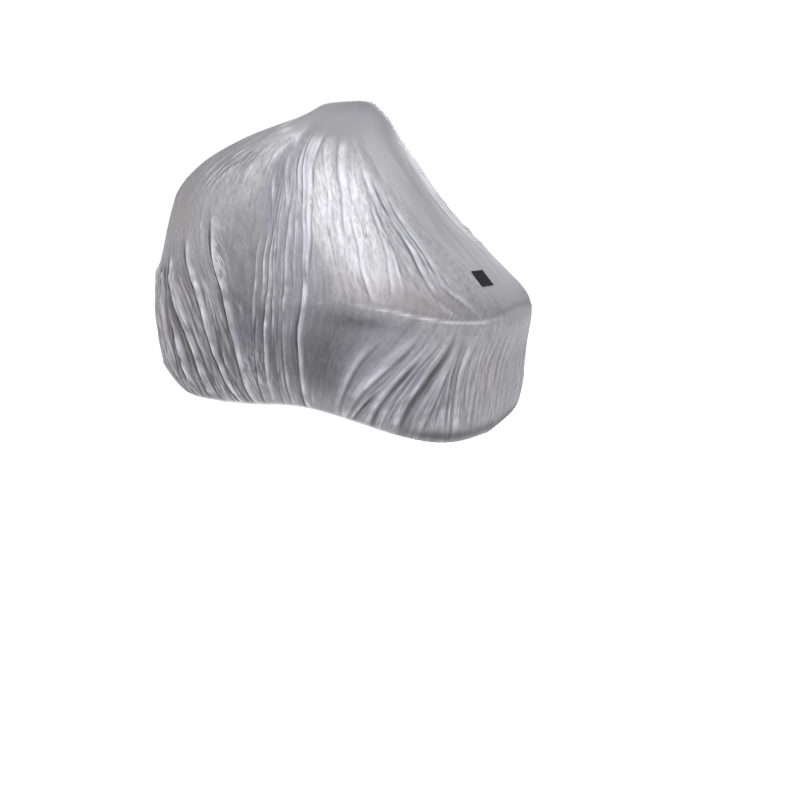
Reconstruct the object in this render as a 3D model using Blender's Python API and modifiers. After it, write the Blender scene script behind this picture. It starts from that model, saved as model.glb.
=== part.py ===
"""Stroller sun net: one fine mesh cover as it hangs, held up from inside, with its sewn label.

The cover is a hollow sheet, closed over the hood's top and open at its elastic hem. +X points to the
foot end, +Y to the far side and +Z up. The origin is on the cloth's inner face at its highest point,
where the hood holds it up. The sheet is a loft of level rings from that point down to the hem. A place
on it is a turn, 0 to 1 round the ring from the middle of the foot end by the near side, and a level,
0 at the top to 1 at the hem.
"""
import bmesh
import bpy
import numpy as np

# Driving sizes in metres
FALL = 0.545            # top of the hood down to the hem, before the hem's own rise and dip
HEAD_REACH = 0.539      # top of the hood to the furthest point of the head end
FOOT_REACH = 0.386      # top of the hood to the rim of the foot end
HALF_WIDTH = 0.215
CLOTH = 0.0012          # thickness of the sheet
LABEL_LENGTH = 0.036
LABEL_WIDTH = 0.027
LABEL_THICK = 0.0010
LABEL_GAP = 0.0005      # the label's back face to the cloth

# Rings of the loft: level, then the fall, reaches, half width and the widest place as shares of the
# driving sizes, then how square the ring is at its head and foot ends (2 is an ellipse)
RINGS = (
    # level, fall, head, foot, half, widest, head_square, foot_square
    (0.00, 0.000, 0.018, 0.026, 0.037, 0.000, 2.0, 2.0),
    (0.06, 0.007, 0.084, 0.114, 0.163, 0.018, 2.0, 2.0),
    (0.13, 0.040, 0.149, 0.184, 0.302, 0.056, 2.1, 2.1),
    (0.22, 0.116, 0.420, 0.241, 0.560, 0.130, 2.2, 2.1),
    (0.32, 0.223, 0.698, 0.355, 0.748, 0.204, 2.1, 2.1),
    (0.42, 0.352, 0.876, 0.521, 0.800, 0.260, 2.1, 2.2),
    (0.52, 0.484, 0.933, 0.756, 0.812, 0.278, 2.3, 2.5),
    (0.62, 0.606, 0.973, 0.964, 0.828, 0.278, 2.5, 2.8),
    (0.67, 0.651, 0.990, 1.000, 0.865, 0.278, 2.5, 2.5),
    (0.77, 0.761, 1.000, 0.940, 0.949, 0.278, 2.5, 3.2),
    (0.88, 0.892, 0.957, 0.912, 1.000, 0.278, 2.5, 3.4),
    (0.97, 0.972, 0.892, 0.883, 0.958, 0.278, 2.4, 3.8),
    (1.00, 1.000, 0.860, 0.850, 0.879, 0.278, 2.2, 4.2),
)

# How far the hem dips below the last ring, from the foot end to the head end on either side
HEM_DIPS = (
    # turn from the foot end, dip
    (0.00, 0.040),
    (0.10, 0.023),
    (0.18, 0.000),
    (0.25, 0.034),
    (0.30, 0.050),
    (0.37, 0.068),
    (0.43, 0.050),
    (0.50, 0.030),
)
DIP_START = 0.62        # level where the dip begins to show

# Main folds, each a crest with a trough along its steep flank. Steep is +1 where the trough lies at
# the greater turn and -1 where it lies at the lesser turn
FOLDS = (
    # hem_turn, top_turn, top_level, height, half_width, steep
    # Near side of the foot end, fanned from the corner of the rim
    (0.052, 0.058, 0.70, 0.0040, 0.012, 1),
    (0.090, 0.083, 0.68, 0.0080, 0.011, -1),
    (0.113, 0.090, 0.68, 0.0090, 0.011, -1),
    (0.136, 0.099, 0.68, 0.0100, 0.011, -1),
    (0.159, 0.112, 0.68, 0.0080, 0.012, -1),
    # Near side, the upright folds that hang from the hood's rib
    (0.179, 0.130, 0.34, 0.0060, 0.011, 1),
    (0.194, 0.163, 0.20, 0.0080, 0.010, 1),
    (0.211, 0.196, 0.24, 0.0085, 0.010, 1),
    # Near side of the head end, fanned from the hood's shoulder
    (0.229, 0.279, 0.44, 0.0105, 0.009, 1),
    (0.246, 0.313, 0.50, 0.0110, 0.009, 1),
    (0.264, 0.348, 0.55, 0.0110, 0.009, 1),
    (0.283, 0.356, 0.61, 0.0090, 0.009, 1),
    (0.303, 0.362, 0.62, 0.0115, 0.010, 1),
    (0.328, 0.374, 0.64, 0.0100, 0.011, 1),
    (0.356, 0.394, 0.60, 0.0095, 0.012, 1),
    # Round the head end
    (0.388, 0.418, 0.61, 0.0090, 0.013, 1),
    (0.423, 0.443, 0.58, 0.0080, 0.014, 1),
    (0.463, 0.472, 0.62, 0.0090, 0.014, 1),
    (0.506, 0.500, 0.57, 0.0070, 0.014, -1),
    (0.548, 0.536, 0.60, 0.0090, 0.014, -1),
    (0.590, 0.566, 0.58, 0.0085, 0.014, -1),
    # Far side of the head end
    (0.626, 0.594, 0.60, 0.0100, 0.012, -1),
    (0.654, 0.615, 0.56, 0.0110, 0.012, -1),
    (0.683, 0.638, 0.57, 0.0095, 0.012, -1),
    (0.710, 0.662, 0.52, 0.0115, 0.011, -1),
    (0.740, 0.698, 0.48, 0.0100, 0.012, -1),
    # Far side, the upright folds and the foot end
    (0.772, 0.786, 0.28, 0.0075, 0.012, -1),
    (0.797, 0.815, 0.24, 0.0085, 0.011, -1),
    (0.824, 0.850, 0.26, 0.0065, 0.012, -1),
    (0.850, 0.890, 0.69, 0.0090, 0.012, 1),
    (0.876, 0.902, 0.69, 0.0085, 0.011, 1),
    (0.902, 0.914, 0.69, 0.0075, 0.011, 1),
    (0.928, 0.930, 0.70, 0.0050, 0.012, 1),
    (0.966, 0.964, 0.70, 0.0040, 0.014, -1),
)
FOLD_BEND = 1.3         # how quickly a fold's line leaves its top for its place on the hem
GENTLE_FLANK = 1.15     # a crest's gentle and steep sides, in half widths
STEEP_FLANK = 0.60
TROUGH_OFF = 1.1        # middle of the trough from the crest, its reach and its depth
TROUGH_WIDE = 0.5
TROUGH_DEEP = 0.75
FOLD_RISE = 0.12        # levels over which a fold grows from nothing
HEM_CALM = 0.35         # share of a fold's height that the elastic takes away at the hem

# The hood's front rib pushes a soft ridge up under the cloth
RIB_X = 0.040
RIB_LEAN = 0.16         # metres that the rib leans back for each metre down
RIB_HEIGHT = 0.0035
RIB_REACH = 0.020
RIB_FOOT = 0.30         # level where the ridge has faded

# The loft's own grid. Its columns run along the folds: some at set places of each fold's profile, and
# more between them, in hem turns
FOLD_COLUMNS = (-0.55, 0.0, 0.5, 1.1)
LEAST_GAP = 0.0034
GREATEST_GAP = 0.0075
LEVELS = (0.04, 0.10, 0.17, 0.25, 0.34, 0.43, 0.52, 0.60, 0.65, 0.69, 0.74, 0.80, 0.86, 0.92, 0.97, 1.0)
LABEL_PLACE = (0.029, 0.556)    # turn and level of the label's middle
LABEL_TURNED = -0.19            # radians from straight down the slope
LABEL_STEPS = (5, 4)

NET_COLOUR = (0.45, 0.44, 0.46, 1.0)
LABEL_COLOUR = (0.018, 0.018, 0.020, 1.0)


def smooth_step(t):
    """0 to 1 with level ends: 3 t^2 - 2 t^3."""
    t = np.clip(t, 0.0, 1.0)
    return t * t * (3.0 - 2.0 * t)


def smooth_curve(at, values, x):
    """Cubic through the values that never overshoots them: each slope is the harmonic mean of the chords."""
    at = np.asarray(at, float)
    values = np.asarray(values, float)
    step = np.diff(at)
    chord = np.diff(values) / step
    slope = np.zeros_like(values)
    total = chord[:-1] + chord[1:]
    product = chord[:-1] * chord[1:]
    slope[1:-1] = np.where(product > 0, 2.0 * product / np.where(total == 0, 1.0, total), 0.0)
    slope[0] = chord[0]
    slope[-1] = chord[-1]
    i = np.clip(np.searchsorted(at, x, side="right") - 1, 0, len(at) - 2)
    t = (x - at[i]) / step[i]
    return (
        (2 * t**3 - 3 * t**2 + 1) * values[i]
        + (t**3 - 2 * t**2 + t) * step[i] * slope[i]
        + (3 * t**2 - 2 * t**3) * values[i + 1]
        + (t**3 - t**2) * step[i] * slope[i + 1]
    )


def bare_form(turn, level):
    """The smooth cover without folds: at each level a ring with an elliptic head half and foot half."""
    rows = np.array(RINGS)
    fall, head, foot, half, widest, head_square, foot_square = (
        smooth_curve(rows[:, 0], rows[:, k], level) for k in range(1, 8)
    )
    angle = -2.0 * np.pi * turn
    c, s = np.cos(angle), np.sin(angle)
    square = np.where(c > 0, foot_square, head_square)
    ring = (np.abs(c) ** square + np.abs(s) ** square) ** (-1.0 / square)
    middle = -widest * HEAD_REACH
    reach = np.where(c > 0, foot * FOOT_REACH - middle, middle + head * HEAD_REACH)
    dips = np.array(HEM_DIPS)
    from_foot = np.abs((turn + 0.5) % 1.0 - 0.5)
    dip = smooth_curve(dips[:, 0], dips[:, 1], from_foot)
    low = smooth_step((level - DIP_START) / (1.0 - DIP_START))
    return np.stack([middle + reach * c * ring, half * HALF_WIDTH * s * ring, -fall * FALL - dip * low], -1)


def outward(turn, level):
    """Unit normals of the smooth cover, from differences a hair's breadth to each side."""
    h = 1e-4
    along = bare_form(turn + h, level) - bare_form(turn - h, level)
    down = bare_form(turn, np.minimum(level + h, 1.0)) - bare_form(turn, np.maximum(level - h, 0.0))
    normal = np.cross(down, along)
    normal *= np.sign((normal * (bare_form(turn, level) - np.array([-0.08, 0.0, -0.30]))).sum(-1))[..., None]
    return normal / np.linalg.norm(normal, axis=-1, keepdims=True)


def leaned(hem_turn, level):
    """Turns, at one level, of the columns that meet the hem at hem_turn: between two folds they follow both."""
    hem, top, top_level = np.array(sorted(FOLDS)).T[:3]
    left = np.clip((1.0 - level) / (1.0 - top_level), 0.0, 1.0)
    line = hem + (top - hem) * left**FOLD_BEND
    at = np.concatenate([hem[-2:] - 1.0, hem, hem[:2] + 1.0])
    values = np.concatenate([line[-2:] - 1.0, line, line[:2] + 1.0])
    return smooth_curve(at, values, hem_turn)


def fold_height(hem_turn, level):
    """Sum of the main folds: a crest with one gentle and one steep side, and a trough past the steep one."""
    total = np.zeros(len(hem_turn))
    for at_hem, _, top_level, height, half_width, steep in FOLDS:
        s = steep * ((hem_turn - at_hem + 0.5) % 1.0 - 0.5) / half_width
        crest = np.exp(-((s / np.where(s > 0, STEEP_FLANK, GENTLE_FLANK)) ** 2))
        trough = np.exp(-(((s - TROUGH_OFF) / TROUGH_WIDE) ** 2))
        grow = smooth_step((level - top_level) / FOLD_RISE) * (1.0 - HEM_CALM * smooth_step((level - 0.9) / 0.1))
        total += height * grow * (crest - TROUGH_DEEP * trough)
    return total


def rib_height(points, level):
    """The ridge over the hood's front rib: a bell across the rib's leaning plane, fading down its legs."""
    off = points[..., 0] - RIB_X - RIB_LEAN * points[..., 2]
    return RIB_HEIGHT * np.exp(-((off / RIB_REACH) ** 2)) * (1.0 - smooth_step(level / RIB_FOOT))


def cover(hem_turn, level):
    """Points of the cloth's inner face along the ring at one level, one to a column."""
    turn = leaned(hem_turn, level)
    base = bare_form(turn, level)
    height = fold_height(hem_turn, level) + rib_height(base, level)
    return base + outward(turn, level) * height[..., None]


def material(name, colour, roughness):
    made = bpy.data.materials.new(name)
    made.use_nodes = True
    shader = made.node_tree.nodes["Principled BSDF"]
    shader.inputs["Base Color"].default_value = colour
    shader.inputs["Roughness"].default_value = roughness
    shader.inputs["Metallic"].default_value = 0.0
    return made


def add_piece(name, points, faces, group, finish):
    mesh = bpy.data.meshes.new(name)
    mesh.from_pydata([tuple(p) for p in points], [], faces)
    work = bmesh.new()
    work.from_mesh(mesh)
    bmesh.ops.triangulate(work, faces=work.faces)
    work.to_mesh(mesh)
    work.free()
    mesh.shade_smooth()
    mesh.materials.append(finish)
    piece = bpy.data.objects.new(name, mesh)
    group.objects.link(piece)
    return piece


def thicken(piece, thickness):
    """Gives the open sheet its thickness, all of it on the outer side."""
    solid = piece.modifiers.new("thickness", "SOLIDIFY")
    solid.thickness = thickness
    solid.offset = 1.0
    solid.use_even_offset = False


def hem_columns():
    """Hem turns of the grid's columns: each fold's own, none too near another, and wide gaps divided."""
    own = sorted((row[0] + row[5] * row[4] * share) % 1.0 for row in FOLDS for share in FOLD_COLUMNS)
    kept = [own[0]]
    for turn in own[1:]:
        if turn - kept[-1] >= LEAST_GAP and own[0] + 1.0 - turn >= LEAST_GAP:
            kept.append(turn)
    columns = []
    for turn, after in zip(kept, kept[1:] + [kept[0] + 1.0]):
        steps = int(np.ceil((after - turn) / GREATEST_GAP))
        columns.extend(turn + (after - turn) * k / steps for k in range(steps))
    return np.array(columns)


def build_net(group):
    hem_turn = hem_columns()
    rings, columns = len(LEVELS), len(hem_turn)
    points = np.vstack([cover(hem_turn, level) for level in LEVELS] + [[0.0, 0.0, 0.0]])
    peak = rings * columns
    faces = [(peak, (j + 1) % columns, j) for j in range(columns)]
    for i in range(rings - 1):
        for j in range(columns):
            k = (j + 1) % columns
            faces.append((i * columns + j, i * columns + k, (i + 1) * columns + k, (i + 1) * columns + j))
    net = add_piece("net", points, faces, group, material("net", NET_COLOUR, 0.55))
    thicken(net, CLOTH)
    return net


def build_label(group):
    """A bare woven label that follows the cloth: a flat rectangle laid on the form by its tangents."""
    turn, level = LABEL_PLACE
    h = 1e-3
    tangents = np.stack([
        (bare_form(turn + h, level) - bare_form(turn - h, level)) / (2 * h),
        (bare_form(turn, level + h) - bare_form(turn, level - h)) / (2 * h),
    ], -1)
    normal = outward(np.array(turn), np.array(level))
    down = tangents[:, 1] / np.linalg.norm(tangents[:, 1])
    across = np.cross(normal, down)
    long_way = down * np.cos(LABEL_TURNED) + across * np.sin(LABEL_TURNED)
    short_way = np.cross(normal, long_way)
    a, b = np.meshgrid(
        np.linspace(-0.5, 0.5, LABEL_STEPS[0]) * LABEL_LENGTH,
        np.linspace(-0.5, 0.5, LABEL_STEPS[1]) * LABEL_WIDTH,
        indexing="ij",
    )
    flat = a[..., None] * long_way + b[..., None] * short_way
    places = flat @ np.linalg.pinv(tangents).T
    turns = turn + places[..., 0]
    levels = level + places[..., 1]
    points = bare_form(turns, levels) + outward(turns, levels) * (CLOTH + LABEL_GAP)
    rows, columns = LABEL_STEPS
    faces = []
    for i in range(rows - 1):
        for j in range(columns - 1):
            k = i * columns + j
            faces.append((k, k + columns, k + columns + 1, k + 1))
    label = add_piece("label", points.reshape(-1, 3), faces, group, material("label", LABEL_COLOUR, 0.8))
    thicken(label, LABEL_THICK)
    return label


def main():
    for old in list(bpy.data.objects):
        bpy.data.objects.remove(old, do_unlink=True)
    group = bpy.data.collections.new("stroller_sun_net")
    bpy.context.scene.collection.children.link(group)
    build_net(group)
    build_label(group)


main()
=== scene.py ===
"""The looks of the stroller sun net: the hung mesh cloth with its pleats and creases, and its label."""

import bpy
import numpy as np
from mathutils import Matrix, Vector


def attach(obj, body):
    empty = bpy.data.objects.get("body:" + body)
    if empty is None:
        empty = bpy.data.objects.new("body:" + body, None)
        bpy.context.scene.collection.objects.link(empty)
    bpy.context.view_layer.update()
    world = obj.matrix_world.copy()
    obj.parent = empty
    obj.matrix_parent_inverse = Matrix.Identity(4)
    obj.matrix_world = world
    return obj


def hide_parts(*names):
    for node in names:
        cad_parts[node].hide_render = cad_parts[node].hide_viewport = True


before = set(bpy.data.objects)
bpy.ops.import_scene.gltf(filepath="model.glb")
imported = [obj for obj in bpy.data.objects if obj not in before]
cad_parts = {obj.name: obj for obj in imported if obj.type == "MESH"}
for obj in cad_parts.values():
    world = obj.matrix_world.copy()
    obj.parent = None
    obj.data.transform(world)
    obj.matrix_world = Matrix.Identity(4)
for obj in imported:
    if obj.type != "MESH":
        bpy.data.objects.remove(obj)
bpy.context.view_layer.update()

# The cover's own form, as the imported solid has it. A place on the cloth is a turn, 0 to 1 round it from
# the middle of the foot end by the near side, and a level, 0 at its highest point to 1 at the hem
FALL = 0.545
HEAD_REACH = 0.539
FOOT_REACH = 0.386
HALF_WIDTH = 0.215
CLOTH = 0.0012
RINGS = (
    # level, fall, head, foot, half, widest, head_square, foot_square
    (0.0, 0.0, 0.018, 0.026, 0.037, 0.0, 2.0, 2.0),
    (0.06, 0.007, 0.084, 0.114, 0.163, 0.018, 2.0, 2.0),
    (0.13, 0.04, 0.149, 0.184, 0.302, 0.056, 2.1, 2.1),
    (0.22, 0.116, 0.42, 0.241, 0.56, 0.13, 2.2, 2.1),
    (0.32, 0.223, 0.698, 0.355, 0.748, 0.204, 2.1, 2.1),
    (0.42, 0.352, 0.876, 0.521, 0.8, 0.26, 2.1, 2.2),
    (0.52, 0.484, 0.933, 0.756, 0.812, 0.278, 2.3, 2.5),
    (0.62, 0.606, 0.973, 0.964, 0.828, 0.278, 2.5, 2.8),
    (0.67, 0.651, 0.99, 1.0, 0.865, 0.278, 2.5, 2.5),
    (0.77, 0.761, 1.0, 0.94, 0.949, 0.278, 2.5, 3.2),
    (0.88, 0.892, 0.957, 0.912, 1.0, 0.278, 2.5, 3.4),
    (0.97, 0.972, 0.892, 0.883, 0.958, 0.278, 2.4, 3.8),
    (1.0, 1.0, 0.86, 0.85, 0.879, 0.278, 2.2, 4.2),
)
HEM_DIPS = (
    # turn from the foot end, dip
    (0.0, 0.04),
    (0.1, 0.023),
    (0.18, 0.0),
    (0.25, 0.034),
    (0.3, 0.05),
    (0.37, 0.068),
    (0.43, 0.05),
    (0.5, 0.03),
)
DIP_START = 0.62
INSIDE = (-0.08, 0.0, -0.30)    # a place in the hollow, which every outward normal points away from
HAIR = 1e-4                     # step to each side for a slope, in turns and levels

# Lines that the cloth's columns follow down its near side: the turn of each at these levels. The far side
# has them in a mirror. A column is called by its turn at the hem
GUIDE_LEVELS = (0.20, 0.35, 0.45, 0.55, 0.65, 0.72, 0.80, 0.88, 1.00)
GUIDES = (
    (0.0, 0.0, 0.0, 0.0, 0.0, 0.0, 0.0, 0.0, 0.0),
    (0.044, 0.042, 0.042, 0.043, 0.047, 0.049, 0.05, 0.05, 0.05),
    (0.066, 0.062, 0.062, 0.066, 0.078, 0.087, 0.092, 0.093, 0.094),
    (0.071, 0.067, 0.068, 0.073, 0.084, 0.091, 0.098, 0.107, 0.117),
    (0.076, 0.073, 0.074, 0.081, 0.091, 0.1, 0.113, 0.123, 0.13),
    (0.082, 0.08, 0.082, 0.091, 0.099, 0.111, 0.126, 0.138, 0.148),
    (0.089, 0.088, 0.094, 0.106, 0.112, 0.121, 0.134, 0.147, 0.157),
    (0.097, 0.096, 0.106, 0.121, 0.133, 0.142, 0.153, 0.159, 0.1645),
    (0.106, 0.105, 0.119, 0.136, 0.147, 0.152, 0.158, 0.162, 0.1668),
    (0.12, 0.121, 0.134, 0.15, 0.157, 0.16, 0.164, 0.166, 0.1695),
    (0.14, 0.138, 0.149, 0.162, 0.168, 0.17, 0.172, 0.173, 0.174),
    (0.16, 0.157, 0.166, 0.177, 0.184, 0.184, 0.182, 0.181, 0.18),
    (0.18, 0.171, 0.179, 0.192, 0.198, 0.197, 0.193, 0.19, 0.188),
    (0.195, 0.189, 0.199, 0.209, 0.213, 0.209, 0.205, 0.202, 0.2),
    (0.209, 0.205, 0.211, 0.223, 0.227, 0.225, 0.221, 0.217, 0.214),
    (0.225, 0.221, 0.226, 0.235, 0.238, 0.234, 0.229, 0.224, 0.22),
    (0.292, 0.291, 0.289, 0.283, 0.269, 0.257, 0.245, 0.237, 0.231),
    (0.325, 0.325, 0.325, 0.322, 0.305, 0.289, 0.274, 0.257, 0.245),
    (0.366, 0.366, 0.366, 0.362, 0.348, 0.325, 0.296, 0.276, 0.263),
    (0.374, 0.374, 0.374, 0.37, 0.356, 0.337, 0.313, 0.295, 0.284),
    (0.382, 0.382, 0.382, 0.377, 0.363, 0.346, 0.328, 0.314, 0.305),
    (0.396, 0.396, 0.396, 0.391, 0.381, 0.369, 0.352, 0.34, 0.335),
    (0.415, 0.415, 0.415, 0.412, 0.404, 0.396, 0.385, 0.376, 0.37),
    (0.445, 0.445, 0.445, 0.443, 0.438, 0.433, 0.427, 0.423, 0.42),
    (0.475, 0.475, 0.475, 0.474, 0.471, 0.468, 0.464, 0.461, 0.46),
    (0.5, 0.5, 0.5, 0.5, 0.5, 0.5, 0.5, 0.5, 0.5),
)

# Pleats listed one by one on the near side. The shadow line of each runs from one column down to another, and
# its
# crest lies one width beside it: at lesser turns where steep is +1, at greater turns where it is -1.
# Bright and dark say how much its crest is paled and its line darkened: the crest's paleness is partly cloth
# folded double and partly a painted highlight, the line's darkness a painted shadow
PLEATS = (
    # from_column, to_column, from_level, to_level, height_mm, width_mm, steep, bright, dark
    (0.23, 0.2305, 0.43, 1.0, 6.0, 5.5, 1, 0.8, 1.0),
    (0.2405, 0.234, 0.77, 1.0, 3.0, 4.5, 1, 0.3, 0.85),
    (0.246, 0.2436, 0.5, 1.0, 6.5, 6.0, 1, 0.9, 1.0),
    (0.252, 0.25, 0.64, 1.0, 3.0, 4.5, 1, 0.25, 0.55),
    (0.259, 0.285, 0.56, 1.0, 7.0, 8.0, 1, 0.95, 1.0),
    (0.256, 0.268, 0.74, 1.0, 3.5, 5.0, 1, 0.4, 0.85),
    (0.27, 0.299, 0.64, 1.0, 4.0, 7.0, 1, 0.5, 0.75),
    (0.288, 0.316, 0.59, 1.0, 7.0, 9.0, 1, 0.85, 1.0),
    (0.302, 0.329, 0.66, 1.0, 4.0, 7.0, 1, 0.5, 0.75),
    (0.318, 0.345, 0.6, 1.0, 6.5, 9.0, 1, 0.65, 0.95),
    (0.34, 0.362, 0.64, 1.0, 3.6, 7.0, 1, 0.5, 0.8),
    (0.362, 0.374, 0.56, 1.0, 5.0, 8.0, 1, 0.6, 0.85),
    (0.376, 0.39, 0.69, 1.0, 2.6, 5.0, 1, 0.45, 0.6),
    (0.392, 0.406, 0.62, 1.0, 3.6, 6.0, 1, 0.45, 0.75),
    (0.415, 0.42, 0.54, 1.0, 5.0, 9.0, 1, 0.6, 0.85),
    (0.43, 0.439, 0.7, 1.0, 2.6, 6.0, 1, 0.45, 0.6),
    (0.462, 0.46, 0.56, 1.0, 4.2, 8.0, 1, 0.6, 0.8),
    (0.47, 0.476, 0.72, 1.0, 2.4, 5.0, 1, 0.4, 0.55),
    (0.493, 0.496, 0.6, 1.0, 4.0, 9.0, 1, 0.5, 0.8),
    (0.2095, 0.2135, 0.4, 1.0, 2.2, 4.0, 1, 0.7, 0.3),
    (0.219, 0.211, 0.3, 0.46, 1.4, 3.5, 1, 0.6, 0.35),
    (0.215, 0.214, 0.44, 0.7, 1.2, 2.6, 1, 0.9, 0.25),
    (0.216, 0.2205, 0.68, 1.0, 2.0, 4.0, 1, 0.15, 0.8),
    (0.218, 0.219, 0.46, 0.94, 1.0, 2.6, 1, 0.6, 0.3),
    (0.212, 0.1955, 0.25, 0.44, 1.4, 3.5, 1, 0.85, 0.35),
    (0.206, 0.2065, 0.3, 0.8, 1.2, 2.6, 1, 0.7, 0.4),
    (0.2025, 0.2035, 0.28, 0.6, 1.0, 2.4, 1, 0.6, 0.35),
    (0.195, 0.1995, 0.37, 0.72, 1.8, 3.4, 1, 0.8, 0.45),
    (0.1995, 0.197, 0.68, 1.0, 2.0, 3.6, 1, 0.5, 0.7),
    (0.2035, 0.204, 0.76, 1.0, 1.6, 3.0, 1, 0.3, 0.6),
    (0.1915, 0.1925, 0.22, 0.62, 1.2, 2.6, 1, 0.8, 0.35),
    (0.1875, 0.188, 0.2, 0.72, 2.0, 3.6, 1, 1.0, 0.4),
    (0.188, 0.187, 0.64, 1.0, 2.4, 4.0, 1, 0.75, 0.8),
    (0.184, 0.1855, 0.2, 0.5, 1.2, 2.8, -1, 1.0, 0.3),
    (0.177, 0.185, 0.19, 0.58, 2.0, 4.0, -1, 1.0, 0.4),
    (0.177, 0.1745, 0.21, 0.34, 1.5, 3.0, 1, 0.9, 0.3),
    (0.17, 0.1715, 0.21, 0.5, 2.4, 5.5, 1, 1.0, 0.4),
    (0.1745, 0.176, 0.3, 0.46, 1.5, 3.0, 1, 0.95, 0.3),
    (0.1675, 0.169, 0.28, 0.42, 2.0, 5.0, 1, 1.0, 0.25),
    (0.156, 0.1665, 0.28, 0.42, 2.0, 4.5, 1, 1.0, 0.35),
    (0.148, 0.1565, 0.31, 0.6, 2.2, 3.5, 1, 0.95, 0.6),
    (0.169, 0.169, 0.39, 0.62, 1.6, 3.0, 1, 0.95, 0.5),
    (0.12, 0.151, 0.35, 0.58, 1.8, 3.5, 1, 0.85, 0.5),
    (0.164, 0.1665, 0.35, 0.62, 1.6, 3.0, 1, 0.9, 0.4),
    (0.159, 0.165, 0.34, 0.6, 1.2, 2.6, -1, 0.9, 0.4),
    (0.138, 0.154, 0.34, 0.6, 1.2, 2.6, 1, 0.85, 0.4),
    (0.128, 0.15, 0.37, 0.58, 1.2, 2.6, 1, 0.8, 0.4),
    (0.108, 0.14, 0.38, 0.54, 1.0, 3.0, 1, 0.5, 0.3),
    (0.2235, 0.2385, 0.235, 0.42, 1.2, 3.5, 1, 0.55, 0.5),
    (0.2265, 0.241, 0.22, 0.41, 1.0, 3.0, 1, 0.45, 0.5),
    (0.231, 0.244, 0.21, 0.4, 1.0, 3.0, 1, 0.5, 0.45),
    (0.24, 0.25, 0.19, 0.38, 0.9, 3.0, 1, 0.4, 0.4),
    (0.255, 0.259, 0.17, 0.36, 0.9, 3.5, 1, 0.4, 0.4),
    (0.275, 0.279, 0.16, 0.34, 0.9, 3.5, 1, 0.35, 0.35),
    (0.24, 0.233, 0.42, 0.5, 1.2, 2.5, 1, 0.75, 0.45),
    (0.236, 0.227, 0.41, 0.48, 1.2, 2.5, 1, 0.75, 0.4),
    (0.1575, 0.1605, 0.69, 1.0, 2.0, 7.0, -1, 0.5, 0.4),
    (0.1645, 0.1655, 0.7, 1.0, 1.6, 6.0, -1, 0.4, 0.4),
    (0.1485, 0.1475, 0.74, 1.0, 2.6, 5.0, -1, 0.55, 0.8),
    (0.1545, 0.1585, 0.83, 1.0, 2.0, 3.2, -1, 0.4, 0.85),
    (0.126, 0.131, 0.69, 1.0, 2.6, 5.5, -1, 0.55, 0.76),
    (0.141, 0.14, 0.69, 1.0, 1.4, 4.5, -1, 0.45, 0.4),
    (0.136, 0.137, 0.7, 0.96, 1.2, 2.6, -1, 0.45, 0.35),
    (0.111, 0.116, 0.72, 1.0, 1.8, 4.5, -1, 0.5, 0.6),
    (0.119, 0.123, 0.7, 0.96, 1.2, 2.6, -1, 0.4, 0.35),
    (0.103, 0.106, 0.69, 1.0, 1.3, 4.0, -1, 0.45, 0.4),
    (0.0925, 0.0935, 0.7, 1.0, 1.7, 4.0, -1, 0.6, 0.6),
    (0.086, 0.087, 0.69, 1.0, 1.4, 4.0, 1, 0.6, 0.3),
    (0.074, 0.074, 0.68, 1.0, 1.0, 3.5, 1, 0.25, 0.35),
    (0.06, 0.06, 0.69, 1.0, 1.0, 3.5, 1, 0.2, 0.3),
    (0.043, 0.043, 0.69, 1.0, 1.0, 3.0, 1, 0.2, 0.25),
    (0.027, 0.027, 0.69, 1.0, 1.0, 3.0, 1, 0.2, 0.25),
    (0.011, 0.011, 0.69, 1.0, 1.0, 3.0, 1, 0.2, 0.25),
)

# Soft ribbons, paler or darker, between the pleats: painted light and shade on the broad folds there
BANDS = (
    # from_column, to_column, from_level, to_level, width_mm, gain
    (0.2165, 0.2, 0.27, 0.58, 9.0, -0.1),
    (0.205, 0.205, 0.42, 1.0, 13.0, -0.03),
    (0.182, 0.1865, 0.19, 0.66, 8.0, 0.13),
    (0.296, 0.188, 0.05, 0.27, 12.0, 0.2),
    (0.2225, 0.201, 0.15, 0.28, 9.0, 0.15),
    (0.214, 0.2235, 0.17, 0.33, 13.0, 0.15),
    (0.1685, 0.169, 0.22, 0.38, 7.0, 0.18),
    (0.156, 0.16, 0.69, 0.92, 12.0, 0.06),
    (0.15, 0.154, 0.69, 0.9, 8.0, 0.06),
    (0.1345, 0.139, 0.69, 0.92, 8.0, 0.06),
    (0.154, 0.156, 0.3, 0.44, 9.0, 0.12),
    (0.1255, 0.129, 0.67, 0.88, 7.0, -0.1),
    (0.099, 0.1, 0.7, 0.92, 7.0, -0.05),
    (0.26, 0.256, 0.14, 0.36, 26.0, -0.05),
    (0.238, 0.237, 0.6, 1.0, 12.0, -0.05),
    (0.254, 0.262, 0.62, 1.0, 12.0, -0.03),
)

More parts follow.
